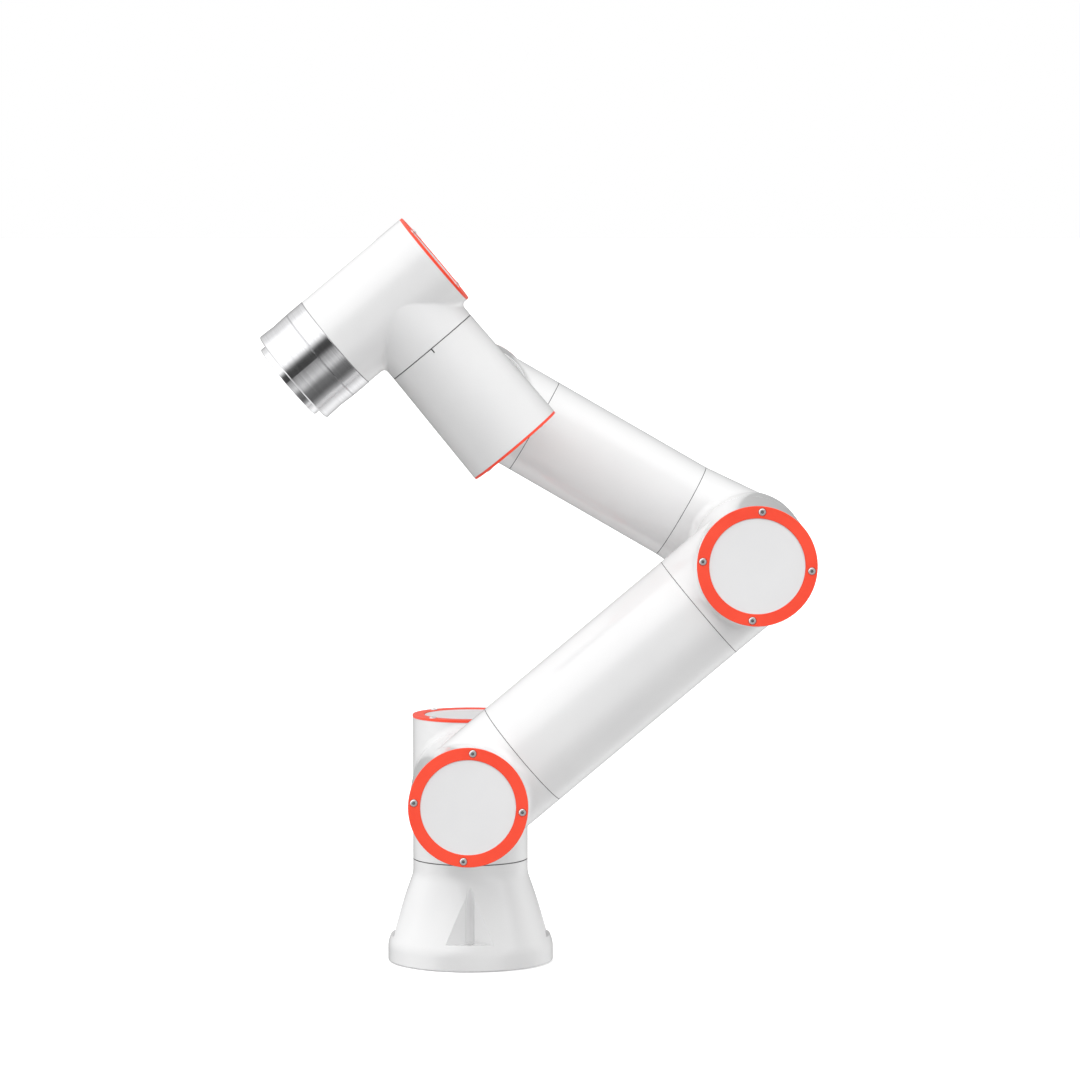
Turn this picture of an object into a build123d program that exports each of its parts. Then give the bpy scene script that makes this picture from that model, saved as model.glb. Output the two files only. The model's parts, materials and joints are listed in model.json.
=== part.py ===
from build123d import *

import math
import os

# Collaborative robot arm, six joints, in millimetres and degrees.
# Z is the first joint's axis and z = 0 is the mounting face. The upper arm leans towards
# +X and hangs on the -Y side of the shoulder. Pieces stand in the stored pose.

# ---- Driving dimensions: the chain of joints ----
SHOULDER_HEIGHT = 140.0  # mounting face to the shoulder axis
UPPER_ARM = 280.0  # shoulder axis to elbow axis
FOREARM = 240.0  # elbow axis to first wrist axis
UPPER_ARM_OFFSET = 110.0  # shoulder plane to upper-arm plane; the forearm returns to y = 0
WRIST_OFFSET = 102.0  # forearm plane to wrist plane, and first wrist axis to the last
TOOL_REACH = 100.0  # last crossing point to the tool flange's face

# ---- The stored pose: directions above +X, seen along +Y ----
UPPER_ARM_ANGLE = 40.0
FOREARM_ANGLE = 150.0
WRIST_ANGLE = 130.0
TOOL_ANGLE = 220.0

# ---- The housings ----
TUBE_RADIUS = 44.25  # upper-arm tube, shoulder branch
SLIM_TUBE_RADIUS = 38.6  # forearm tube
WALL = 4.3
SEAM_GAP = 0.5  # open running gap at each joint's seam
EDGE = 0.3  # broken edges of castings and tubes
BIG_BLEND = 7.0  # where a branch leaves a barrel
SLIM_BLEND = 9.0
HAND_BLEND = 3.5  # the tighter corner of the last housing
END_WALL = 8.0  # closed end that a drive's output bolts to
MOUTH_DEPTH = 13.0  # lip around a drive's output
SPIGOT = 8.0  # length a casting reaches into its tube
SPIGOT_WALL = 3.5
CABLE_RADIUS = 12.0  # hollow centre for the cable run
SHOULDER_SEAM = 60.6  # shoulder axis down to the base seam
BIG_SEAM = 57.6  # upper-arm plane to the shoulder and elbow seams
BIG_BRANCH = UPPER_ARM_OFFSET - BIG_SEAM
UPPER_TUBE_START = 52.9  # from the shoulder axis
UPPER_TUBE_END = 54.1  # from the elbow axis
FORE_TUBE_START = 59.5  # from the elbow axis
FORE_TUBE_END = 49.5  # from the first wrist axis
SLIM_SEAM = 52.6  # crossing point to the wrist seams
SLIM_BRANCH = WRIST_OFFSET - SLIM_SEAM
HAND_SEAM = 53.2  # last crossing point to the metal ring
HAND_JOINT = 68.0  # last crossing point to the last joint's seam
HAND_MOUTH = 20.0  # the last drive's lip, casting and metal ring together
WRIST_TAPER = 37.6  # wrist casting's radius at the fifth joint's seam
WRIST_BRANCH_RADIUS = 37.7
HAND_RADIUS = 39.1
METAL_RADIUS = 39.3

# ---- Caps: a coloured ring holds a flat disc with four button-head screws ----
RING_THICKNESS = 2.0
SCREW_CIRCLE = 0.905  # of the ring's radius
WINDOW = 0.797  # of the ring's radius
SCREW_LAND = 2.3
RIM_DEPTH = 6.6
DISC_RECESS = 0.8  # below the ring's face
FIT = 0.15  # clearance between pieces of one body
SCREW_RADIUS = 1.5
SCREW_HOLE = 1.6
SCREW_LENGTH = 6.8
HEAD_RADIUS = 2.85
HEAD_HEIGHT = 1.65
HEAD_SEAT = 0.9
SOCKET_RADIUS = 1.15

# ---- Drives: frameless motor, strain-wave gear, board ----
BOARD = 1.6
DRIVE_GAP = 0.5  # between turning and standing pieces
WINDING = 4.0
STATOR_START = 8.0
STATOR_BORE = 0.66  # of the chamber's radius
MAGNET = 5.0
SHAFT_WALL = 2.5
GEAR_TOP = 10.0
GEAR_FLANGE = 10.0
OUTPUT_STEP = 4.2

# ---- Base ----
FOOT_RADIUS = 64.0
FOOT_HEIGHT = 14.0  # of the straight wall, before its bend
NECK_HEIGHT = 68.3
BASE_BEND = 20.0
BASE_TOP = SHOULDER_HEIGHT - SHOULDER_SEAM - SEAM_GAP / 2
BASE_CAVITY = 37.0
BASE_CEILING = 62.0
BOLT_CIRCLE = 55.0
BOLT_HOLE = 3.3
POCKET_FLOOR = 20.0
POCKET_DEPTH = 47.4  # base axis to the pocket's inner corner
POCKET_SLOPE = 1.6
GROOVE_RADIUS = 3.5
INLET_ANGLE = 55.0
INLET_HEIGHT = 46.0
INLET_FACE = 57.5  # base axis to the inlet's flat boss
INLET_BOSS = 13.0
INLET_BODY = 9.0

# ---- Tool flange: 50 mm bolt circle with four M6 ----
PLATE_RADIUS = 31.5
PLATE_THICKNESS = 5.4
PLATE_HUB = 29.0
HUB_DEPTH = 10.0
PILOT_RADIUS = 15.75
PILOT_DEPTH = 6.5
TOOL_BOLT_CIRCLE = 25.0
TOOL_BOLT = 2.5
TOOL_BOLT_DEPTH = 12.0
DOWEL_RADIUS = 3.0
DOWEL_DEPTH = 8.0
WAIST_PLACE = 80.8  # last crossing point to the collar's narrowest ring
WAIST = 0.6

os.makedirs("parts", exist_ok=True)


def direction(angle):
    """The unit vector at an angle above +X, in a plane of constant Y."""
    return Vector(math.cos(math.radians(angle)), 0, math.sin(math.radians(angle)))


UP = Vector(0, 0, 1)
FRONT = Vector(0, -1, 0)
BACK = Vector(0, 1, 0)
ALONG_UPPER = direction(UPPER_ARM_ANGLE)
ALONG_FORE = direction(FOREARM_ANGLE)
ALONG_WRIST = direction(WRIST_ANGLE)
ALONG_TOOL = direction(TOOL_ANGLE)
SHOULDER = Vector(0, 0, SHOULDER_HEIGHT)
UPPER_SHOULDER = SHOULDER + FRONT * UPPER_ARM_OFFSET
UPPER_ELBOW = UPPER_SHOULDER + ALONG_UPPER * UPPER_ARM
ELBOW = UPPER_ELBOW + BACK * UPPER_ARM_OFFSET
WRIST = ELBOW + ALONG_FORE * FOREARM
WRIST_FRONT = WRIST + FRONT * WRIST_OFFSET
HAND = WRIST_FRONT + ALONG_WRIST * WRIST_OFFSET


class Drive:
    """One joint's drive. Heights run along its axis from the crossing point of its
    housing: the cap ring's face is at +cap and the seam it turns at is at -seam."""

    def __init__(self, crossing, to_cap, to_branch, slim, seam, mouth=MOUTH_DEPTH):
        self.plane = Plane(origin=crossing, x_dir=to_branch, z_dir=to_cap)
        self.radius = 39.0 if slim else 44.5
        self.ring = 39.0 if slim else 44.8
        self.shaft = 12.5 if slim else 15.0
        self.cap = 44.6 if slim else 51.8
        self.seam = seam
        self.chamber = self.radius - WALL
        self.screws = SCREW_CIRCLE * self.ring
        self.rim = self.screws - SCREW_LAND
        self.window = WINDOW * self.ring
        self.output = self.chamber - OUTPUT_STEP
        self.top = self.cap - RING_THICKNESS
        self.ledge = self.top - RIM_DEPTH
        self.stator_end = self.ledge - BOARD - WINDING
        self.gear_start = mouth - seam


drives = [
    Drive(SHOULDER, UP, FRONT, False, SHOULDER_SEAM),
    Drive(UPPER_SHOULDER, FRONT, ALONG_UPPER, False, BIG_SEAM),
    Drive(UPPER_ELBOW, FRONT, -ALONG_UPPER, False, BIG_SEAM),
    Drive(WRIST, BACK, -ALONG_FORE, True, SLIM_SEAM),
    Drive(WRIST_FRONT, -ALONG_WRIST, BACK, True, SLIM_SEAM),
    Drive(HAND, -ALONG_TOOL, -ALONG_WRIST, True, HAND_JOINT, HAND_MOUTH),
]
drive_1, drive_2, drive_3, drive_4, drive_5, drive_6 = drives


# ---- Shared operations ----
def barrel(plane, radius, low, high, mode=Mode.ADD):
    """A round bar or bore along a plane's normal, between two heights on it."""
    with BuildSketch(plane.offset(low)) as disc:
        Circle(radius)
    extrude(disc.sketch, amount=high - low, mode=mode)


def sleeve(plane, outer, inner, low, high):
    """A round ring along a plane's normal, between two heights on it."""
    with BuildSketch(plane.offset(low)) as ring:
        Circle(outer)
        Circle(inner, mode=Mode.SUBTRACT)
    extrude(ring.sketch, amount=high - low)


def cone(plane, low_radius, high_radius, low, high):
    """A tapered bar along a plane's normal, between two heights on it."""
    with Locations(plane.offset(low)):
        Cone(low_radius, high_radius, high - low, align=(Align.CENTER, Align.CENTER, Align.MIN))


def holes(plane, circle, radius, height, depth, count=4, start=45.0):
    """Round holes on a circle, sunk from a height on the plane."""
    with BuildSketch(plane.offset(height)) as spots:
        with PolarLocations(circle, count, start_angle=start):
            Circle(radius)
    extrude(spots.sketch, amount=-depth, mode=Mode.SUBTRACT)


def rims(edges, plane, height, radius):
    """The round edges of one radius at one height on a plane."""
    found = []
    for edge in edges.filter_by(GeomType.CIRCLE):
        at_height = abs(plane.to_local_coords(edge.arc_center).Z - height) < 0.01
        if at_height and abs(edge.radius - radius) < 0.01:
            found.append(edge)
    return found


def crossings(edges):
    """The curved edges where one round body runs into another."""
    plain = (GeomType.CIRCLE, GeomType.LINE)
    return [edge for edge in edges if edge.geom_type not in plain]


def branch_plane(start, towards):
    """The plane at a crossing point, facing along a branch."""
    return Plane(origin=start, z_dir=towards)


def hollow(drive):
    """Cut a drive's chamber, cap rim, output mouth and screw holes in its casting."""
    barrel(drive.plane, drive.chamber, drive.gear_start, drive.ledge, Mode.SUBTRACT)
    barrel(drive.plane, drive.rim, drive.ledge, drive.top, Mode.SUBTRACT)
    barrel(drive.plane, drive.output + DRIVE_GAP, -drive.seam, drive.gear_start, Mode.SUBTRACT)
    holes(drive.plane, drive.screws, SCREW_HOLE, drive.top, RIM_DEPTH - DRIVE_GAP)


def keep(piece, name):
    """Name a finished piece and write it."""
    piece.label = name
    export_step(piece, f"parts/{name}.step")


# ---- Base ----
with BuildPart() as base_casting:
    with BuildSketch(Plane.XZ) as base_section:
        with BuildLine():
            Polyline(
                (0, 0),
                (FOOT_RADIUS, 0),
                (FOOT_RADIUS, FOOT_HEIGHT),
                (drive_1.radius, NECK_HEIGHT),
                (drive_1.radius, BASE_TOP),
                (0, BASE_TOP),
                close=True,
            )
        make_face()
    revolve(axis=Axis.Z)
    foot_bend = rims(base_casting.edges(), Plane.XY, FOOT_HEIGHT, FOOT_RADIUS)
    neck_bend = rims(base_casting.edges(), Plane.XY, NECK_HEIGHT, drive_1.radius)
    fillet(foot_bend + neck_bend, BASE_BEND)
    fillet(rims(base_casting.edges(), Plane.XY, 0, FOOT_RADIUS), 1.0)
    chamfer(rims(base_casting.edges(), Plane.XY, BASE_TOP, drive_1.radius), EDGE)
    inlet_plane = Plane(
        origin=(0, 0, INLET_HEIGHT),
        z_dir=(math.cos(math.radians(INLET_ANGLE)), math.sin(math.radians(INLET_ANGLE)), 0),
    )
    barrel(inlet_plane, INLET_BOSS, BASE_CAVITY - 5.0, INLET_FACE)
    with BuildSketch(Plane.XY.offset(POCKET_FLOOR)) as pocket_plan:
        with PolarLocations(0, 4):
            Polygon(
                (POCKET_DEPTH, 0),
                (POCKET_DEPTH + 20, 20 * POCKET_SLOPE),
                (POCKET_DEPTH + 20, -20 * POCKET_SLOPE),
                align=None,
            )
        with PolarLocations(POCKET_DEPTH + 2.6, 4):
            Circle(GROOVE_RADIUS)
    extrude(pocket_plan.sketch, amount=NECK_HEIGHT - POCKET_FLOOR, mode=Mode.SUBTRACT)
    barrel(Plane.XY, BASE_CAVITY, 0, BASE_CEILING, Mode.SUBTRACT)
    barrel(Plane.XY, CABLE_RADIUS, BASE_CEILING, SHOULDER_HEIGHT - SHOULDER_SEAM, Mode.SUBTRACT)
    barrel(inlet_plane, INLET_BODY + FIT, BASE_CAVITY - 6.0, INLET_FACE, Mode.SUBTRACT)
    holes(Plane.XY, BOLT_CIRCLE, BOLT_HOLE, POCKET_FLOOR, POCKET_FLOOR, start=0.0)
keep(base_casting.part, "base_casting")

with BuildPart() as base_cable_inlet:
    barrel(inlet_plane, INLET_BODY, BASE_CAVITY - 4.0, INLET_FACE)
    barrel(inlet_plane, INLET_BOSS - 1.0, INLET_FACE, INLET_FACE + 2.0)
    sleeve(inlet_plane, INLET_BODY - 1.0, INLET_BODY - 2.4, INLET_FACE + 2.0, INLET_FACE + 6.5)
    with BuildSketch(inlet_plane.offset(INLET_FACE + 2.0)) as contacts:
        with PolarLocations(3.6, 6):
            Circle(0.6)
        Circle(0.6)
    extrude(contacts.sketch, amount=3.5)
keep(base_cable_inlet.part, "base_cable_inlet")

# ---- Shoulder ----
front_branch = branch_plane(SHOULDER, FRONT)
with BuildPart() as shoulder_casting:
    barrel(drive_1.plane, drive_1.radius, SEAM_GAP / 2 - drive_1.seam, drive_1.top)
    barrel(front_branch, TUBE_RADIUS, 0, BIG_BRANCH - SEAM_GAP / 2)
    fillet(crossings(shoulder_casting.edges()), BIG_BLEND)
    hollow(drive_1)
    barrel(front_branch, TUBE_RADIUS - 2 * WALL, 0, BIG_BRANCH - END_WALL, Mode.SUBTRACT)
    barrel(front_branch, CABLE_RADIUS, BIG_BRANCH - END_WALL, BIG_BRANCH, Mode.SUBTRACT)
    foot = rims(shoulder_casting.edges(), drive_1.plane, SEAM_GAP / 2 - drive_1.seam, drive_1.radius)
    nose = rims(shoulder_casting.edges(), front_branch, BIG_BRANCH - SEAM_GAP / 2, TUBE_RADIUS)
    chamfer(foot + nose, EDGE)
keep(shoulder_casting.part, "shoulder_casting")


# ---- Upper arm: two cast ends joined by a tube ----
def upper_arm_end(drive, towards, tube_start):
    """A cast end of the upper arm: a drive housing with a branch for the tube."""
    branch = branch_plane(drive.plane.origin, towards)
    with BuildPart() as casting:
        barrel(drive.plane, drive.radius, SEAM_GAP / 2 - drive.seam, drive.top)
        barrel(branch, TUBE_RADIUS, 0, tube_start)
        fillet(crossings(casting.edges()), BIG_BLEND)
        barrel(branch, TUBE_RADIUS - WALL - FIT, tube_start, tube_start + SPIGOT)
        hollow(drive)
        inside = TUBE_RADIUS - WALL - FIT - SPIGOT_WALL
        barrel(branch, inside, 0, tube_start + SPIGOT, Mode.SUBTRACT)
        seam = rims(casting.edges(), drive.plane, SEAM_GAP / 2 - drive.seam, drive.radius)
        joint = rims(casting.edges(), branch, tube_start, TUBE_RADIUS)
        chamfer(seam + joint, EDGE)
    return casting.part


def tube(start, towards, radius, low, high):
    """An open round tube with broken edges."""
    plane = branch_plane(start, towards)
    with BuildPart() as piece:
        sleeve(plane, radius, radius - WALL, low, high)
        ends = rims(piece.edges(), plane, low, radius) + rims(piece.edges(), plane, high, radius)
        chamfer(ends, EDGE)
    return piece.part


keep(upper_arm_end(drive_2, ALONG_UPPER, UPPER_TUBE_START), "upper_arm_shoulder_casting")
keep(upper_arm_end(drive_3, -ALONG_UPPER, UPPER_TUBE_END), "upper_arm_elbow_casting")
keep(
    tube(UPPER_SHOULDER, ALONG_UPPER, TUBE_RADIUS, UPPER_TUBE_START, UPPER_ARM - UPPER_TUBE_END),
    "upper_arm_tube",
)

# ---- Forearm: an elbow bend, a tube and a wrist housing ----
elbow_front = branch_plane(ELBOW, FRONT)
elbow_branch = branch_plane(ELBOW, ALONG_FORE)
slim_spigot = SLIM_TUBE_RADIUS - WALL - FIT
slim_inside = slim_spigot - SPIGOT_WALL
with BuildPart() as forearm_elbow_casting:
    barrel(elbow_front, drive_3.radius, 0, BIG_BRANCH - SEAM_GAP / 2)
    with Locations(elbow_front):
        Sphere(drive_3.radius)
    cone(elbow_branch, drive_3.radius - 1.2, SLIM_TUBE_RADIUS, 0, FORE_TUBE_START)
    fillet(crossings(forearm_elbow_casting.edges()), BIG_BLEND)
    barrel(elbow_branch, slim_spigot, FORE_TUBE_START, FORE_TUBE_START + SPIGOT)
    barrel(elbow_front, drive_3.chamber - WALL, 0, BIG_BRANCH - END_WALL, Mode.SUBTRACT)
    with Locations(elbow_front):
        Sphere(drive_3.chamber - WALL, mode=Mode.SUBTRACT)
    barrel(elbow_front, CABLE_RADIUS, BIG_BRANCH - END_WALL, BIG_BRANCH, Mode.SUBTRACT)
    barrel(elbow_branch, slim_inside, 0, FORE_TUBE_START + SPIGOT, Mode.SUBTRACT)
    forearm_seams = rims(
        forearm_elbow_casting.edges(), elbow_front, BIG_BRANCH - SEAM_GAP / 2, drive_3.radius
    )
    forearm_seams += rims(
        forearm_elbow_casting.edges(), elbow_branch, FORE_TUBE_START, SLIM_TUBE_RADIUS
    )
    chamfer(forearm_seams, EDGE)
keep(forearm_elbow_casting.part, "forearm_elbow_casting")
keep(
    tube(ELBOW, ALONG_FORE, SLIM_TUBE_RADIUS, FORE_TUBE_START, FOREARM - FORE_TUBE_END),
    "forearm_tube",
)

wrist_branch = branch_plane(WRIST, -ALONG_FORE)
with BuildPart() as forearm_wrist_casting:
    barrel(drive_4.plane, drive_4.radius, SEAM_GAP / 2 - drive_4.seam, drive_4.top)
    barrel(wrist_branch, SLIM_TUBE_RADIUS, 0, FORE_TUBE_END)
    fillet(crossings(forearm_wrist_casting.edges()), SLIM_BLEND)
    barrel(wrist_branch, slim_spigot, FORE_TUBE_END, FORE_TUBE_END + SPIGOT)
    hollow(drive_4)
    barrel(wrist_branch, slim_inside, 0, FORE_TUBE_END + SPIGOT, Mode.SUBTRACT)
    chamfer(
        rims(
            forearm_wrist_casting.edges(),
            drive_4.plane,
            SEAM_GAP / 2 - drive_4.seam,
            drive_4.radius,
        )
        + rims(forearm_wrist_casting.edges(), wrist_branch, FORE_TUBE_END, SLIM_TUBE_RADIUS),
        EDGE,
    )
keep(forearm_wrist_casting.part, "forearm_wrist_casting")


# ---- Wrists: two near-equal tees, one after the other ----
def close_branch(branch, inside):
    """Hollow a branch up to its closed end, with a hole for the cables."""
    barrel(branch, inside, 0, SLIM_BRANCH - END_WALL, Mode.SUBTRACT)
    barrel(branch, CABLE_RADIUS, SLIM_BRANCH - END_WALL, SLIM_BRANCH, Mode.SUBTRACT)


back_branch = branch_plane(WRIST_FRONT, BACK)
with BuildPart() as wrist_1_casting:
    cone(drive_5.plane, WRIST_TAPER, drive_5.radius + 0.2, SEAM_GAP / 2 - drive_5.seam, drive_5.top)
    barrel(back_branch, WRIST_BRANCH_RADIUS, 0, SLIM_BRANCH - SEAM_GAP / 2)
    fillet(crossings(wrist_1_casting.edges()), SLIM_BLEND)
    hollow(drive_5)
    close_branch(back_branch, WRIST_BRANCH_RADIUS - 2 * WALL)
    chamfer(
        rims(wrist_1_casting.edges(), drive_5.plane, SEAM_GAP / 2 - drive_5.seam, WRIST_TAPER)
        + rims(
            wrist_1_casting.edges(), back_branch, SLIM_BRANCH - SEAM_GAP / 2, WRIST_BRANCH_RADIUS
        ),
        EDGE,
    )
    zero_mark = branch_plane(WRIST_FRONT + FRONT * WRIST_TAPER, ALONG_WRIST)
    barrel(zero_mark, 0.5, drive_5.seam - 4.0, drive_5.seam, Mode.SUBTRACT)
keep(wrist_1_casting.part, "wrist_1_casting")

hand_branch = branch_plane(HAND, -ALONG_WRIST)
with BuildPart() as wrist_2_casting:
    barrel(drive_6.plane, HAND_RADIUS, -HAND_SEAM, drive_6.top)
    barrel(hand_branch, WRIST_TAPER, 0, SLIM_BRANCH - SEAM_GAP / 2)
    fillet(crossings(wrist_2_casting.edges()), HAND_BLEND)
    hollow(drive_6)
    close_branch(hand_branch, WRIST_TAPER - 2 * WALL)
    chamfer(
        rims(wrist_2_casting.edges(), drive_6.plane, -HAND_SEAM, HAND_RADIUS)
        + rims(wrist_2_casting.edges(), hand_branch, SLIM_BRANCH - SEAM_GAP / 2, WRIST_TAPER),
        EDGE,
    )
keep(wrist_2_casting.part, "wrist_2_casting")

with BuildPart() as wrist_2_metal_ring:
    sleeve(
        drive_6.plane,
        METAL_RADIUS,
        drive_6.output + DRIVE_GAP,
        SEAM_GAP / 2 - HAND_JOINT,
        -HAND_SEAM,
    )
    chamfer(
        rims(wrist_2_metal_ring.edges(), drive_6.plane, -HAND_SEAM, METAL_RADIUS)
        + rims(wrist_2_metal_ring.edges(), drive_6.plane, SEAM_GAP / 2 - HAND_JOINT, METAL_RADIUS),
        EDGE,
    )
keep(wrist_2_metal_ring.part, "wrist_2_metal_ring")

# ---- Tool end: a turning metal collar and the bolt-on flange ----
tool_plane = Plane(origin=HAND, x_dir=FRONT, z_dir=ALONG_TOOL)
plate_back = TOOL_REACH - PLATE_THICKNESS
collar_start = HAND_JOINT + SEAM_GAP / 2
with BuildPart() as tool_collar:
    cone(tool_plane, METAL_RADIUS, METAL_RADIUS - WAIST, collar_start, WAIST_PLACE)
    cone(tool_plane, METAL_RADIUS - WAIST, METAL_RADIUS, WAIST_PLACE, plate_back)
    barrel(tool_plane, drive_6.output, -drive_6.gear_start + DRIVE_GAP, collar_start)
    barrel(
        tool_plane, PLATE_HUB + FIT, plate_back - HUB_DEPTH - DRIVE_GAP, plate_back, Mode.SUBTRACT
    )
    barrel(tool_plane, CABLE_RADIUS, -drive_6.gear_start, plate_back - HUB_DEPTH, Mode.SUBTRACT)
    chamfer(rims(tool_collar.edges(), tool_plane, plate_back, METAL_RADIUS), 0.8)
    chamfer(rims(tool_collar.edges(), tool_plane, collar_start, METAL_RADIUS), EDGE)
keep(tool_collar.part, "tool_collar")

with BuildPart() as tool_flange:
    barrel(tool_plane, PLATE_RADIUS, plate_back, TOOL_REACH)
    barrel(tool_plane, PLATE_HUB, plate_back - HUB_DEPTH, plate_back)
    barrel(tool_plane, PILOT_RADIUS, TOOL_REACH - PILOT_DEPTH, TOOL_REACH, Mode.SUBTRACT)
    holes(tool_plane, TOOL_BOLT_CIRCLE, TOOL_BOLT, TOOL_REACH, TOOL_BOLT_DEPTH)
    holes(tool_plane, TOOL_BOLT_CIRCLE, DOWEL_RADIUS, TOOL_REACH, DOWEL_DEPTH, count=1, start=0.0)
    chamfer(rims(tool_flange.edges(), tool_plane, TOOL_REACH, PLATE_RADIUS), 0.5)
keep(tool_flange.part, "tool_flange")


# ---- Caps ----
def cap_ring(drive):
    """The coloured ring with its four sunk screw seats."""
    with BuildPart() as ring:
        sleeve(drive.plane, drive.ring, drive.window, drive.top, drive.cap)
        chamfer(rims(ring.edges(), drive.plane, drive.cap, drive.ring), EDGE)
        chamfer(rims(ring.edges(), drive.plane, drive.cap, drive.window), EDGE)
        holes(drive.plane, drive.screws, SCREW_HOLE, drive.cap, RING_THICKNESS)
        holes(drive.plane, drive.screws, HEAD_RADIUS + FIT, drive.cap, HEAD_SEAT)
    return ring.part


def cap_disc(drive):
    """The flat cover, with a step that the ring holds down."""
    with BuildPart() as disc:
        barrel(drive.plane, drive.rim - FIT, drive.top - RING_THICKNESS, drive.top)
        barrel(drive.plane, drive.window - FIT, drive.top, drive.cap - DISC_RECESS)
        chamfer(rims(disc.edges(), drive.plane, drive.cap - DISC_RECESS, drive.window - FIT), EDGE)
    return disc.part


def cap_screws(group):
    """The button-head screws of one or more caps, as separate solids of one piece."""
    with BuildPart() as screws:
        for drive in group:
            seat = drive.cap - HEAD_SEAT
            with BuildSketch(drive.plane.offset(seat)) as heads:
                with PolarLocations(drive.screws, 4, start_angle=45.0):
                    Circle(HEAD_RADIUS)
            extrude(heads.sketch, amount=HEAD_HEIGHT)
            fillet(rims(screws.edges(), drive.plane, seat + HEAD_HEIGHT, HEAD_RADIUS), 1.2)
            with BuildSketch(drive.plane.offset(seat)) as shanks:
                with PolarLocations(drive.screws, 4, start_angle=45.0):
                    Circle(SCREW_RADIUS)
            extrude(shanks.sketch, amount=-SCREW_LENGTH)
            with BuildSketch(drive.plane.offset(seat + HEAD_HEIGHT)) as sockets:
                with PolarLocations(drive.screws, 4, start_angle=45.0):
                    RegularPolygon(SOCKET_RADIUS, 6)
            extrude(sockets.sketch, amount=-SCREW_RADIUS / 2, mode=Mode.SUBTRACT)
    return screws.part


# ---- What each drive holds ----
def stator(drive):
    """The motor's iron ring with its end windings, slotted into twelve coils."""
    inner = STATOR_BORE * drive.chamber
    with BuildPart() as piece:
        sleeve(
            drive.plane,
            drive.chamber - FIT,
            inner,
            STATOR_START + WINDING,
            drive.stator_end - WINDING,
        )
        sleeve(drive.plane, drive.chamber - WALL, inner + 1.0, STATOR_START, drive.stator_end)
        for low in (STATOR_START, drive.stator_end - WINDING):
            with BuildSketch(drive.plane.offset(low)) as slots:
                with PolarLocations(inner + 4.0, 12):
                    Rectangle(12.0, 1.6)
            extrude(slots.sketch, amount=WINDING, mode=Mode.SUBTRACT)
    return piece.part


def rotor(drive):
    """The hollow motor shaft with its magnet ring."""
    outer = STATOR_BORE * drive.chamber - DRIVE_GAP
    low = STATOR_START + WINDING
    high = drive.stator_end - WINDING
    middle = (low + high) / 2
    with BuildPart() as piece:
        barrel(drive.plane, drive.shaft, drive.gear_start + 2.0, drive.ledge + BOARD)
        barrel(drive.plane, outer, middle - 1.5, middle + 1.5)
        sleeve(drive.plane, outer, outer - MAGNET, low, high)
        barrel(
            drive.plane,
            drive.shaft - SHAFT_WALL,
            drive.gear_start + 2.0,
            drive.ledge + BOARD,
            Mode.SUBTRACT,
        )
    return piece.part


def gear(drive):
    """The strain-wave gear: a bolted flange and the body behind it, with a hollow centre."""
    with BuildPart() as piece:
        flange_end = drive.gear_start + GEAR_FLANGE
        barrel(drive.plane, drive.chamber - FIT, drive.gear_start, flange_end)
        barrel(drive.plane, drive.chamber - WALL, flange_end, -GEAR_TOP)
        barrel(drive.plane, drive.shaft + 1.0, drive.gear_start, -GEAR_TOP, Mode.SUBTRACT)
    return piece.part


def drive_board(drive):
    """The round circuit board with its chips, under the cap."""
    with BuildPart() as piece:
        sleeve(
            drive.plane, drive.chamber - FIT, drive.shaft + 3.0, drive.ledge - BOARD, drive.ledge
        )
        with BuildSketch(drive.plane.offset(drive.ledge)) as chips:
            with PolarLocations(0.74 * drive.rim, 8, start_angle=10.0):
                Rectangle(7.0, 7.0)
        extrude(chips.sketch, amount=1.8)
    return piece.part


def output_flange(drive):
    """The gear's output disc, bolted to the next casting across the seam."""
    with BuildPart() as piece:
        low = -drive.seam - SEAM_GAP / 2
        high = drive.gear_start - DRIVE_GAP
        sleeve(drive.plane, drive.output, CABLE_RADIUS, low, high)
        chamfer(rims(piece.edges(), drive.plane, high, drive.output), EDGE)
    return piece.part


for number, drive in enumerate(drives, start=1):
    keep(cap_ring(drive), f"j{number}_cap_ring")
    keep(cap_disc(drive), f"j{number}_cap_disc")
    keep(stator(drive), f"j{number}_stator")
    keep(rotor(drive), f"j{number}_rotor")
    keep(gear(drive), f"j{number}_gear")
    keep(drive_board(drive), f"j{number}_drive_board")
for number, drive in enumerate(drives[:5], start=1):
    keep(output_flange(drive), f"j{number}_output_flange")

keep(cap_screws([drive_1]), "shoulder_cap_screws")
keep(cap_screws([drive_2, drive_3]), "upper_arm_cap_screws")
keep(cap_screws([drive_4]), "forearm_cap_screws")
keep(cap_screws([drive_5]), "wrist_1_cap_screws")
keep(cap_screws([drive_6]), "wrist_2_cap_screws")
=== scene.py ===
"""Looks for the collaborative robot arm: finishes, seam gaskets, turned metal, studio."""

import json
import math

import bmesh
import bpy
from mathutils import Matrix, Vector

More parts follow.
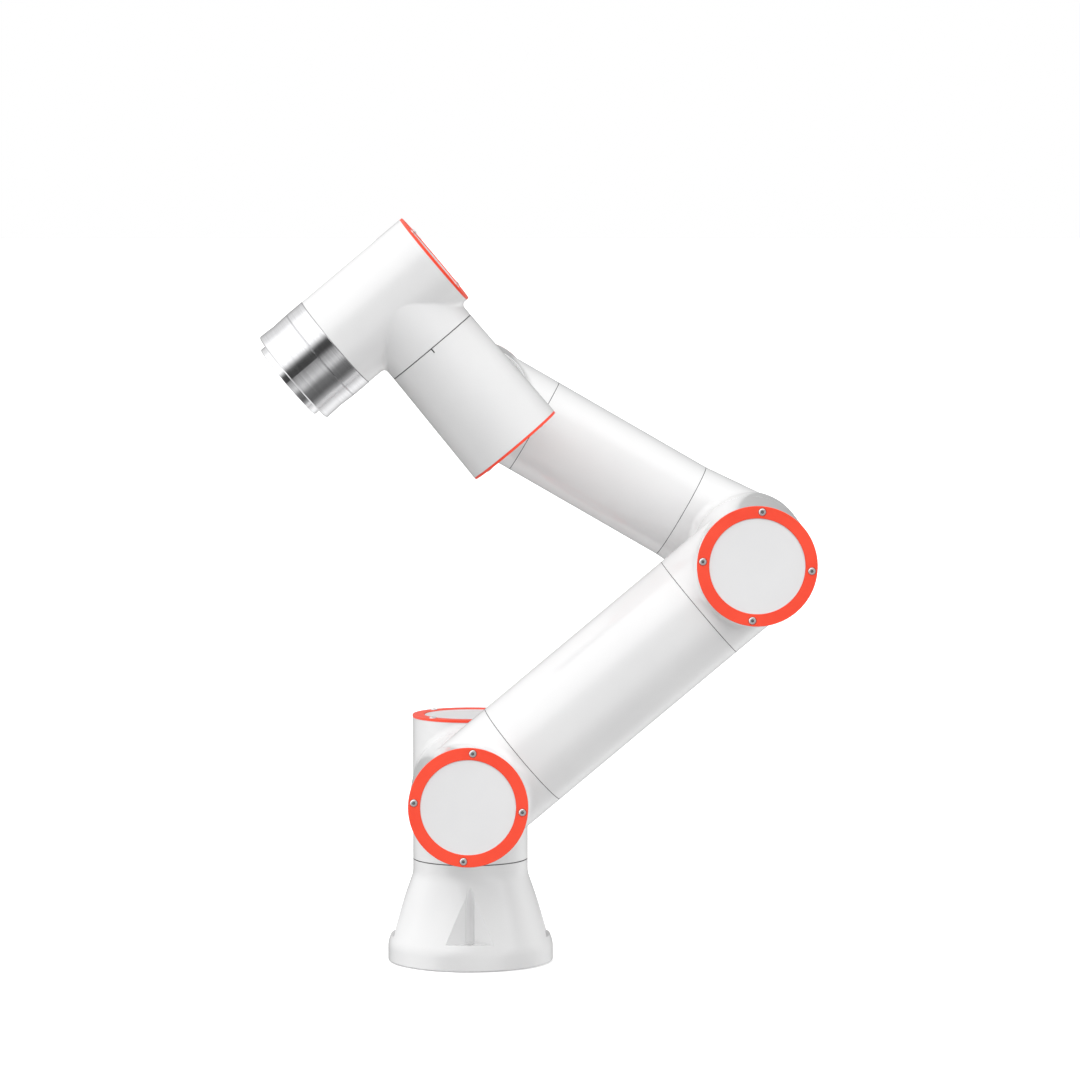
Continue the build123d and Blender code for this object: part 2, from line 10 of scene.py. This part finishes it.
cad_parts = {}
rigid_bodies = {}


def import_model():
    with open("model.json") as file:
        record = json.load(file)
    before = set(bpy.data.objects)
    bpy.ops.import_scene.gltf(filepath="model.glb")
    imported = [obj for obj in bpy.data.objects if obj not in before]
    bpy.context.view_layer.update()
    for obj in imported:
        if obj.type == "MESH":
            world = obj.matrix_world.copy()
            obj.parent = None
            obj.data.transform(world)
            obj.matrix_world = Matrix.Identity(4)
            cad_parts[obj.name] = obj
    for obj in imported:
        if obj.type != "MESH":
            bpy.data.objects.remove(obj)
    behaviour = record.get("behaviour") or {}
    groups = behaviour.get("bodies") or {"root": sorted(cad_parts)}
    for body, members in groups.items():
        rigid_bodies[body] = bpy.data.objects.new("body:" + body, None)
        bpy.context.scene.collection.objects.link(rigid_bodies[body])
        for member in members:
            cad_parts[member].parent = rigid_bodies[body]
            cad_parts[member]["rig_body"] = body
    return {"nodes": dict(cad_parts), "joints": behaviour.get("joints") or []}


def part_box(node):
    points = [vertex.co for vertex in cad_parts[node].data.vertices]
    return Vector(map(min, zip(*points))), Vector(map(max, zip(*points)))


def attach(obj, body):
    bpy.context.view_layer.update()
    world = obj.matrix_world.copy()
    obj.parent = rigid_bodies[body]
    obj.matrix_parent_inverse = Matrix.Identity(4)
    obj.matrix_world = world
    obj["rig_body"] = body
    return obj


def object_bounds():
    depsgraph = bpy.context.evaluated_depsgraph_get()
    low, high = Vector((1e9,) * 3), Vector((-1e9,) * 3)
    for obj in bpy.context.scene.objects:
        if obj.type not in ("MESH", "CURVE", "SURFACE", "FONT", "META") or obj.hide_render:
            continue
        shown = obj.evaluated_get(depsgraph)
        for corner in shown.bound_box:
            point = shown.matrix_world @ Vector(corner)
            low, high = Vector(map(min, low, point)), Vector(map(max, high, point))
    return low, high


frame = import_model()
cad_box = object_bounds()
NODES = frame["nodes"]
JOINTS = {joint["name"]: joint for joint in frame["joints"]}
TOOL_AXIS = Vector(JOINTS["tool_turn"]["axis"]).normalized()
FRONT = Vector((0, -1, 0))  # towards the camera's side
FULL_TURN = 2 * math.pi
WHITE = (1.0, 1.0, 1.0, 1.0)

# Seams, in metres
RUNNING_GAP = 0.0005  # open seam of each joint
JOINT_SEAM = 0.00046  # a gasket's width there
TUBE_SEAM = 0.0006  # a gasket's width at a tube's end
SEAM_DEPTH = 0.0012
SEAM_SINK = 0.00003  # a gasket's crown below the paint
SEAM_STEPS = 160
END_SLICE = 0.0012  # how near a housing's end its radius is read

# Zero mark on the first wrist
MARK_LENGTH = 0.0034
MARK_WIDTH = 0.0009
MARK_RISE = 0.00004
MARK_STEPS = 4

# Bead between a cap's disc and its ring
BEAD_WIDTH = 0.0006
BEAD_OVER = 0.0001
BEAD_RISE = 0.0002
DISC_SLICE = 0.0004  # how near a disc's face its radius is read

# Finishes
SCREW_SHADE = 0.0022  # reach of the painted shade in a screw's hollows
SCREW_SHADE_RANGE = (0.35, 0.9)  # how open a place is, from full painted shade to bright
SCREW_SHADE_SAMPLES = 8
CASTING_PEEL = 0.000012  # height of the paint's orange peel
TUBE_PEEL = 0.000006
FINE_PEEL = 0.25  # share of the peel in its finer grain
GRAIN = 0.00001  # height of plain metal's grain
TURNED_RINGS = (15.0, 15.0, 3000.0)  # noise scale across, across and along the tool's axis
TURNED_DEPTH = 0.0000015

# Camera: millimetres, metres, degrees
LENS = 164.508
SENSOR = 36.0
CAMERA_PLACE = (0.04075, -3.80297, 0.62949)
CAMERA_TILT = 85.45  # up from straight down
CAMERA_YAW = -0.2

# Studio
FLOOR_SIZE = 60.0
FLOOR_GAP = 0.0005  # under the base
FLOOR_GLOW = 0.40  # added to what the camera sees of it
FLOOR_BOUNCE = 0.49  # how light the floor is to diffuse rays
CARD_STRENGTH = 1.7  # what glossy surfaces mirror
FILL_STRENGTH = 0.70  # even light from all sides
SUN_SPREAD = 50.0  # degrees
# For each sun, the way from the object to it and its strength
SUNS = {
    "left_light": ((-0.45, -0.35, 0.85), 1.15),
    "edge_light": ((-0.85, 0.35, 0.30), 0.8),
    "front_light": ((0.20, -0.90, 0.40), 0.48),
    "right_light": ((0.75, -0.55, 0.30), 0.70),
}
# Degrees around the tool's axis from the camera's side towards upper left, and how bright
STUDIO_CARDS = [
    (-180, 0.18),
    (-125, 0.82),
    (-95, 0.45),
    (-66, 0.10),
    (-48, 0.14),
    (-28, 0.52),
    (-12, 0.34),
    (4, 0.04),
    (16, 0.05),
    (38, 1.0),
    (100, 1.0),
    (125, 0.65),
    (180, 0.18),
]


# ---------------------------------------------------------------- node helpers


class Finish:
    """A material's node tree with short ways to add what the finishes share."""

    def __init__(self, name, roughness, metallic=0.0):
        self.material = bpy.data.materials.new(name)
        self.material.use_nodes = True
        self.tree = self.material.node_tree
        self.shader = self.tree.nodes["Principled BSDF"]
        self.shader.inputs["Metallic"].default_value = metallic
        self.shader.inputs["Roughness"].default_value = roughness
        self.place = self.tree.nodes.new("ShaderNodeTexCoord").outputs["Object"]

    def set(self, **values):
        """Set constants on the shader, named in lower case with underscores."""
        sockets = {s.name.lower().replace(" ", "_"): s for s in self.shader.inputs}
        for name, value in values.items():
            sockets[name].default_value = value

    def link(self, source, target):
        self.tree.links.new(source, target)

    def node(self, kind, **settings):
        made = self.tree.nodes.new(kind)
        for name, value in settings.items():
            setattr(made, name, value)
        return made

    def stretched(self, scale):
        """Object coordinates times a scale along each axis."""
        mapping = self.node("ShaderNodeMapping")
        mapping.inputs["Scale"].default_value = scale
        self.link(self.place, mapping.inputs["Vector"])
        return mapping.outputs["Vector"]

    def noise(self, scale, detail=3.0, roughness=0.5, stretch=(1.0, 1.0, 1.0)):
        noise = self.node("ShaderNodeTexNoise")
        noise.inputs["Scale"].default_value = scale
        noise.inputs["Detail"].default_value = detail
        noise.inputs["Roughness"].default_value = roughness
        self.link(self.stretched(stretch), noise.inputs["Vector"])
        return noise.outputs["Fac"]

    def spread(self, source, low, high, start=0.3, end=0.7):
        """A number that runs from low to high as source runs from start to end."""
        span = self.node("ShaderNodeMapRange")
        span.inputs["From Min"].default_value = start
        span.inputs["From Max"].default_value = end
        span.inputs["To Min"].default_value = low
        span.inputs["To Max"].default_value = high
        self.link(source, span.inputs["Value"])
        return span.outputs["Result"]

    def times(self, first, second):
        product = self.node("ShaderNodeMath", operation="MULTIPLY")
        self.link(first, product.inputs[0])
        self.link(second, product.inputs[1])
        return product.outputs["Value"]

    def colour(self, source, dark, light, start=0.3, end=0.7):
        """Base colour from dark to light as source runs from start to end."""
        ramp = self.node("ShaderNodeValToRGB")
        ramp.color_ramp.elements[0].position = start
        ramp.color_ramp.elements[0].color = (*dark, 1.0)
        ramp.color_ramp.elements[1].position = end
        ramp.color_ramp.elements[1].color = (*light, 1.0)
        self.link(source, ramp.inputs["Fac"])
        self.link(ramp.outputs["Color"], self.shader.inputs["Base Color"])

    def rough(self, source, low, high):
        self.link(self.spread(source, low, high), self.shader.inputs["Roughness"])

    def bump(self, source, height):
        """Raise the surface by up to height metres where source is high."""
        bump = self.node("ShaderNodeBump")
        bump.inputs["Strength"].default_value = 1.0
        bump.inputs["Distance"].default_value = height
        self.link(source, bump.inputs["Height"])
        earlier = self.shader.inputs["Normal"].links
        if earlier:
            self.link(earlier[0].from_socket, bump.inputs["Normal"])
        self.link(bump.outputs["Normal"], self.shader.inputs["Normal"])


# -------------------------------------------------------------------- finishes


def painted(name, dark, light, peel):
    """Semi-gloss paint: cloudy tint, orange peel, faint dust in its gloss."""
    paint = Finish(name, roughness=0.34)
    paint.colour(paint.noise(scale=14.0), dark, light)
    paint.rough(paint.noise(scale=60.0, detail=5.0), low=0.30, high=0.40)
    paint.bump(paint.noise(scale=900.0, detail=2.0), peel)
    paint.bump(paint.noise(scale=5200.0, detail=1.0), peel * FINE_PEEL)
    paint.set(coat_weight=0.8, coat_roughness=0.08, specular_ior_level=0.5)
    return paint.material


def ring_plastic():
    plastic = Finish("orange_ring_plastic", roughness=0.38)
    plastic.colour(plastic.noise(scale=40.0), dark=(0.95, 0.066, 0.029), light=(0.99, 0.080, 0.036))
    plastic.rough(plastic.noise(scale=160.0, detail=4.0), low=0.34, high=0.44)
    plastic.bump(plastic.noise(scale=3200.0, detail=2.0), height=0.00002)
    plastic.set(specular_ior_level=0.45)
    return plastic.material


def cap_plastic():
    plastic = Finish("cap_satin_plastic", roughness=0.42)
    plastic.colour(plastic.noise(scale=18.0), dark=(0.765, 0.765, 0.77), light=(0.80, 0.80, 0.805))
    plastic.rough(plastic.noise(scale=220.0, detail=4.0), low=0.36, high=0.46)
    plastic.bump(plastic.noise(scale=4200.0, detail=2.0), height=0.000015)
    plastic.set(coat_weight=0.15, coat_roughness=0.2)
    return plastic.material


def steel(name, dark, light, low, high):
    """Plain metal with fine grain and a little uneven polish."""
    metal = Finish(name, low, metallic=1.0)
    metal.colour(metal.noise(scale=300.0), dark, light)
    metal.rough(metal.noise(scale=700.0, detail=4.0), low, high)
    metal.bump(metal.noise(scale=2500.0, detail=2.0), GRAIN)
    return metal.material


def screw_steel():
    """Bright steel that darkens in the socket and where the head meets its seat: painted shade,
    from ambient occlusion in the base colour.
    """
    metal = Finish("screw_steel_metal", roughness=0.32, metallic=1.0)
    # painted shade: ambient occlusion finds the socket and the seat under the head
    hollow = metal.node("ShaderNodeAmbientOcclusion", samples=SCREW_SHADE_SAMPLES)
    hollow.inputs["Distance"].default_value = SCREW_SHADE
    grain = metal.spread(metal.noise(scale=2000.0), low=0.9, high=1.0)
    painted_shade_and_grain = metal.times(hollow.outputs["AO"], grain)
    start, end = SCREW_SHADE_RANGE
    # painted shade times a little random grain: the base colour runs to near black where the screw
    # is enclosed
    metal.colour(painted_shade_and_grain, (0.03, 0.03, 0.032), (0.86, 0.86, 0.87), start, end)
    metal.rough(metal.noise(scale=1500.0, detail=4.0), low=0.28, high=0.40)
    metal.bump(metal.noise(scale=3500.0), GRAIN)
    return metal.material


def turned(name, dark, light, low, high):
    """Lathe-turned metal: fine rings around the tool's axis and a little cloudy polish."""
    metal = Finish(name, low, metallic=1.0)
    turn = metal.node("ShaderNodeMapping", vector_type="TEXTURE")
    turn.inputs["Rotation"].default_value = TOOL_AXIS.to_track_quat("Z", "Y").to_euler()
    metal.link(metal.place, turn.inputs["Vector"])
    metal.place = turn.outputs["Vector"]
    rings = metal.noise(scale=1.0, detail=3.0, stretch=TURNED_RINGS)
    metal.colour(rings, dark, light)
    metal.rough(metal.noise(scale=80.0, detail=4.0), low, high)
    metal.bump(rings, TURNED_DEPTH)
    return metal.material


def copper():
    wire = Finish("motor_winding_copper", roughness=0.35, metallic=1.0)
    wire.colour(wire.noise(scale=900.0), dark=(0.50, 0.20, 0.10), light=(0.78, 0.36, 0.20))
    wire.rough(wire.noise(scale=1500.0), low=0.25, high=0.45)
    wire.bump(wire.noise(scale=2600.0), height=0.0001)
    return wire.material


def board():
    green = Finish("circuit_board_green", roughness=0.4)
    weave = green.noise(scale=500.0, detail=1.0)
    green.colour(weave, dark=(0.012, 0.10, 0.045), light=(0.03, 0.20, 0.09))
    green.rough(green.noise(scale=800.0), low=0.3, high=0.5)
    green.bump(green.noise(scale=1600.0), height=0.00005)
    return green.material


def rubber(name, dark, light):
    """Dull dark elastomer for gaskets and the connector."""
    dull = Finish(name, roughness=0.6)
    dull.colour(dull.noise(scale=400.0), dark, light)
    dull.rough(dull.noise(scale=900.0), low=0.5, high=0.7)
    dull.bump(dull.noise(scale=3000.0), height=0.00002)
    return dull.material


# Slot: the finish, from its darker to its lighter colour
FINISHES = {
    "white_casting": painted(
        "white_casting_paint",
        dark=(0.76, 0.76, 0.763),
        light=(0.795, 0.795, 0.795),
        peel=CASTING_PEEL,
    ),
    "white_tube": painted(
        "white_tube_paint", dark=(0.77, 0.77, 0.773), light=(0.80, 0.80, 0.80), peel=TUBE_PEEL
    ),
    "orange_ring": ring_plastic(),
    "cap_grey": cap_plastic(),
    "screw_steel": screw_steel(),
    "drive_metal": steel(
        "drive_flange_metal", dark=(0.58, 0.58, 0.60), light=(0.74, 0.74, 0.75), low=0.25, high=0.40
    ),
    "gear_steel": steel(
        "gear_steel_metal", dark=(0.42, 0.42, 0.43), light=(0.58, 0.58, 0.60), low=0.25, high=0.42
    ),
    "motor_iron": steel(
        "motor_iron_metal", dark=(0.20, 0.20, 0.21), light=(0.32, 0.32, 0.33), low=0.35, high=0.50
    ),
    "motor_copper": copper(),
    "circuit_board": board(),
    "black_plastic": rubber(
        "black_connector_plastic", dark=(0.012, 0.012, 0.013), light=(0.03, 0.03, 0.032)
    ),
    "turned_metal": turned(
        "turned_collar_metal",
        dark=(0.56, 0.56, 0.57),
        light=(0.70, 0.70, 0.71),
        low=0.12,
        high=0.18,
    ),
    "flange_metal": turned(
        "turned_flange_metal",
        dark=(0.60, 0.60, 0.61),
        light=(0.76, 0.76, 0.77),
        low=0.08,
        high=0.14,
    ),
}
for node in NODES.values():
    for slot in node.material_slots:
        slot.material = FINISHES[slot.material.name.split(".")[0]]


# --------------------------------------------------------------- seam gaskets


def middle(node):
    low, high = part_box(node)
    return (low + high) / 2


def points(node):
    return [vertex.co for vertex in NODES[node].data.vertices]


def joint_line(joint, sense=1):
    """A joint's centre and the direction of its axis, turned round if sense is -1."""
    return Vector(JOINTS[joint]["pos_m"]), Vector(JOINTS[joint]["axis"]).normalized() * sense


def reach(node, centre, axis):
    """A node's lowest and highest place along an axis through centre."""
    heights = [(point - centre).dot(axis) for point in points(node)]
    return min(heights), max(heights)


def girth(node, centre, axis, height, near=END_SLICE):
    """A node's radius around an axis, at a height along it."""
    offsets = [point - centre for point in points(node)]
    level = [o for o in offsets if abs(o.dot(axis) - height) < near]
    return max((o - axis * o.dot(axis)).length for o in level)


def lathe(name, centre, axis, profile, facing=None, arc=FULL_TURN):
    """Turn a closed profile of (radius, height) around an axis, all the way or over an arc.

    Its vertices stand in place in the shared frame, as the CAD nodes' do.
    """
    whole = arc >= FULL_TURN
    steps = SEAM_STEPS if whole else MARK_STEPS
    shape = bmesh.new()
    rings = []
    for step in range(steps if whole else steps + 1):
        angle = arc * step / steps - (0 if whole else arc / 2)
        out = Vector((math.cos(angle), math.sin(angle), 0.0))
        rings.append([shape.verts.new(out * r + Vector((0.0, 0.0, z))) for r, z in profile])
    for first, second in zip(rings, rings[1:] + (rings[:1] if whole else [])):
        for corner in range(len(profile)):
            after = (corner + 1) % len(profile)
            shape.faces.new((first[corner], second[corner], second[after], first[after]))
    if not whole:
        shape.faces.new(rings[0])
        shape.faces.new(rings[-1])
    bmesh.ops.recalc_face_normals(shape, faces=shape.faces)
    mesh = bpy.data.meshes.new(name)
    shape.to_mesh(mesh)
    shape.free()
    for face in mesh.polygons:
        face.use_smooth = whole
    across = facing if facing else axis.orthogonal().normalized()
    turn = Matrix((across, axis.cross(across), axis)).transposed().to_4x4()
    mesh.transform(Matrix.Translation(centre) @ turn)
    piece = bpy.data.objects.new(name, mesh)
    bpy.context.scene.collection.objects.link(piece)
    return piece


def gasket(name, body, centre, axis, radius, slot, width):
    """A thin ring that nearly fills a seam between two housings."""
    crown, root, half = radius - SEAM_SINK, radius - SEAM_DEPTH, width / 2
    profile = [
        (root, -half),
        (crown - half / 2, -half),
        (crown, -half / 2),
        (crown, half / 2),
        (crown - half / 2, half),
        (root, half),
    ]
    ring = lathe(name, centre, axis, profile)
    ring.data.materials.append(FINISHES[slot])
    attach(ring, body)


def tube_gaskets(tube, body, start, end):
    """Gaskets at both ends of a tube that runs along start to end."""
    axis = (Vector(end) - Vector(start)).normalized()
    centre = middle(tube)
    for side, height in zip(("lower", "upper"), reach(tube, centre, axis)):
        radius = girth(tube, centre, axis, height)
        place = centre + axis * height
        gasket(f"{tube}_{side}_gasket", body, place, axis, radius, "black_plastic", TUBE_SEAM)


def end_gasket(name, body, node, joint, sense, past, slot="black_plastic"):
    """A gasket a little past the end of a housing, on one side of a joint's centre."""
    centre, axis = joint_line(joint, sense)
    height = reach(node, centre, axis)[1]
    radius = girth(node, centre, axis, height)
    gasket(name, body, centre + axis * (height + past), axis, radius, slot, JOINT_SEAM)


def zero_mark():
    """The short dark line on the first wrist that shows the next joint's zero."""
    centre, axis = joint_line("wrist_2_turn")
    top = reach("wrist_1_casting", centre, axis)[1]
    radius = girth("wrist_1_casting", centre, axis, top)
    profile = [
        (radius - SEAM_DEPTH, top - MARK_LENGTH),
        (radius + MARK_RISE, top - MARK_LENGTH),
        (radius + MARK_RISE, top),
        (radius - SEAM_DEPTH, top),
    ]
    mark = lathe("zero_mark", centre, axis, profile, facing=FRONT, arc=MARK_WIDTH / radius)
    mark.data.materials.append(FINISHES["black_plastic"])
    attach(mark, "wrist_1")


def disc_bead(number, joint, sense):
    """The thin bright bead that closes the gap between a cap's disc and its ring."""
    node = f"j{number}_cap_disc"
    centre, axis = joint_line(joint, sense)
    top = reach(node, centre, axis)[1]
    radius = girth(node, centre, axis, top, near=DISC_SLICE)
    profile = [
        (radius - BEAD_WIDTH, top - BEAD_RISE),
        (radius + BEAD_OVER, top - 2 * BEAD_RISE),
        (radius + BEAD_OVER, top + BEAD_RISE / 2),
        (radius - BEAD_WIDTH / 3, top + BEAD_RISE),
        (radius - 2 * BEAD_WIDTH / 3, top + BEAD_RISE / 2),
    ]
    bead = lathe(f"j{number}_disc_bead", centre, axis, profile)
    bead.data.materials.append(FINISHES["white_casting"])
    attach(bead, NODES[node]["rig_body"])


shoulder, elbow, wrist = (
    JOINTS[name]["pos_m"] for name in ("shoulder_swing", "elbow_swing", "wrist_1_swing")
)
tube_gaskets("upper_arm_tube", "upper_arm", shoulder, elbow)
forearm_start = (elbow[0], wrist[1], elbow[2])  # the elbow's place in the forearm's plane
tube_gaskets("forearm_tube", "forearm", forearm_start, wrist)
# Name, body, housing, joint, side of the joint's centre
HOUSING_ENDS = [
    ("base_seam_gasket", "base", "base_casting", "base_turn", 1),
    ("shoulder_seam_gasket", "shoulder", "shoulder_casting", "shoulder_swing", -1),
    ("elbow_seam_gasket", "upper_arm", "upper_arm_elbow_casting", "elbow_swing", -1),
    ("wrist_1_seam_gasket", "wrist_1", "wrist_1_casting", "wrist_1_swing", 1),
    ("wrist_2_seam_gasket", "wrist_1", "wrist_1_casting", "wrist_2_turn", 1),
]
for housing_end in HOUSING_ENDS:
    end_gasket(*housing_end, RUNNING_GAP / 2)
end_gasket("metal_ring_gasket", "wrist_2", "wrist_2_casting", "tool_turn", 1, 0.0)
end_gasket(
    "tool_seal", "wrist_2", "wrist_2_metal_ring", "tool_turn", 1, RUNNING_GAP / 2, "turned_metal"
)
zero_mark()
# On which side of its joint's centre each cap is
CAP_SIDES = {
    "base_turn": 1,
    "shoulder_swing": -1,
    "elbow_swing": 1,
    "wrist_1_swing": 1,
    "wrist_2_turn": -1,
    "tool_turn": -1,
}
for number, (joint, sense) in enumerate(CAP_SIDES.items(), start=1):
    disc_bead(number, joint, sense)


# ---------------------------------------------------------------------- studio


def studio_floor():
    """Glowing paper to the camera, a grey bounce to diffuse rays, nothing to glossy rays."""
    mesh = bpy.data.meshes.new("floor")
    half = FLOOR_SIZE / 2
    corners = [(-half, -half, 0.0), (half, -half, 0.0), (half, half, 0.0), (-half, half, 0.0)]
    mesh.from_pydata(corners, [], [(0, 1, 2, 3)])
    floor = bpy.data.objects.new("floor", mesh)
    bpy.context.scene.collection.objects.link(floor)
    floor.location.z = cad_box[0][2] - FLOOR_GAP
    pale = Finish("floor_paper", 0.8)
    pale.colour(pale.noise(3.0), (0.93, 0.93, 0.93), (0.95, 0.95, 0.95))
    pale.set(
        emission_color=WHITE,
        emission_strength=FLOOR_GLOW,
        specular_ior_level=0.0,
    )
    grey = pale.node("ShaderNodeBsdfDiffuse")
    grey.inputs["Color"].default_value = (FLOOR_BOUNCE, FLOOR_BOUNCE, FLOOR_BOUNCE, 1.0)
    rays = pale.node("ShaderNodeLightPath")
    seen = pale.node("ShaderNodeMixShader")
    pale.link(rays.outputs["Is Glossy Ray"], seen.inputs["Fac"])
    pale.link(grey.outputs["BSDF"], seen.inputs[1])
    pale.link(pale.node("ShaderNodeBsdfTransparent").outputs["BSDF"], seen.inputs[2])
    mix = pale.node("ShaderNodeMixShader")
    pale.link(rays.outputs["Is Camera Ray"], mix.inputs["Fac"])
    pale.link(seen.outputs["Shader"], mix.inputs[1])
    pale.link(pale.shader.outputs["BSDF"], mix.inputs[2])
    pale.link(mix.outputs["Shader"], pale.tree.nodes["Material Output"].inputs["Surface"])
    floor.data.materials.append(pale.material)


def sun(name, towards, strength):
    """A distant soft light that glossy surfaces don't mirror."""
    light = bpy.data.lights.new(name, "SUN")
    light.energy = strength
    light.angle = math.radians(SUN_SPREAD)
    lamp = bpy.data.objects.new(name, light)
    bpy.context.scene.collection.objects.link(lamp)
    lamp.rotation_euler = Vector(towards).to_track_quat("Z", "Y").to_euler()
    lamp.visible_glossy = False


def studio_world():
    """White behind the object; softboxes and dark cards around the tool's axis light it."""
    world = bpy.data.worlds.new("studio")
    world.use_nodes = True
    bpy.context.scene.world = world
    tree = world.node_tree
    node, link = tree.nodes.new, tree.links.new
    direction = node("ShaderNodeTexCoord").outputs["Generated"]
    parts = []
    for way in (TOOL_AXIS.cross(FRONT), FRONT):
        dot = node("ShaderNodeVectorMath")
        dot.operation = "DOT_PRODUCT"
        dot.inputs[1].default_value = way.normalized()
        link(direction, dot.inputs[0])
        parts.append(dot.outputs["Value"])
    around = node("ShaderNodeMath")
    around.operation = "ARCTAN2"
    link(parts[0], around.inputs[0])
    link(parts[1], around.inputs[1])
    share = node("ShaderNodeMapRange")
    share.inputs["From Min"].default_value = -math.pi
    share.inputs["From Max"].default_value = math.pi
    link(around.outputs["Value"], share.inputs["Value"])
    cards = node("ShaderNodeValToRGB")
    cards.color_ramp.interpolation = "EASE"
    elements = cards.color_ramp.elements
    while len(elements) < len(STUDIO_CARDS):
        elements.new(0.5)
    for element, (degrees, level) in zip(elements, STUDIO_CARDS):
        element.position = (degrees + 180) / 360
        element.color = (level, level, level, 1.0)
    link(share.outputs["Result"], cards.inputs["Fac"])
    mirrored = node("ShaderNodeBackground")
    mirrored.inputs["Strength"].default_value = CARD_STRENGTH
    link(cards.outputs["Color"], mirrored.inputs["Color"])
    fill = node("ShaderNodeBackground")
    fill.inputs["Color"].default_value = WHITE
    fill.inputs["Strength"].default_value = FILL_STRENGTH
    rays = node("ShaderNodeLightPath")
    around_object = node("ShaderNodeMixShader")
    link(rays.outputs["Is Glossy Ray"], around_object.inputs["Fac"])
    link(fill.outputs["Background"], around_object.inputs[1])
    link(mirrored.outputs["Background"], around_object.inputs[2])
    backdrop = tree.nodes["Background"]
    backdrop.inputs["Color"].default_value = WHITE
    backdrop.inputs["Strength"].default_value = 1.0
    mix = node("ShaderNodeMixShader")
    link(rays.outputs["Is Camera Ray"], mix.inputs["Fac"])
    link(around_object.outputs["Shader"], mix.inputs[1])
    link(backdrop.outputs["Background"], mix.inputs[2])
    link(mix.outputs["Shader"], tree.nodes["World Output"].inputs["Surface"])


def studio_camera():
    lens = bpy.data.cameras.new("camera")
    lens.sensor_width = SENSOR
    lens.lens = LENS
    camera = bpy.data.objects.new("camera", lens)
    bpy.context.scene.collection.objects.link(camera)
    camera.location = CAMERA_PLACE
    camera.rotation_euler = (math.radians(CAMERA_TILT), 0.0, math.radians(CAMERA_YAW))
    bpy.context.scene.camera = camera


studio_floor()
studio_world()
for light_name, (way, energy) in SUNS.items():
    sun(light_name, way, energy)
studio_camera()
bpy.context.scene.view_settings.view_transform = "Standard"
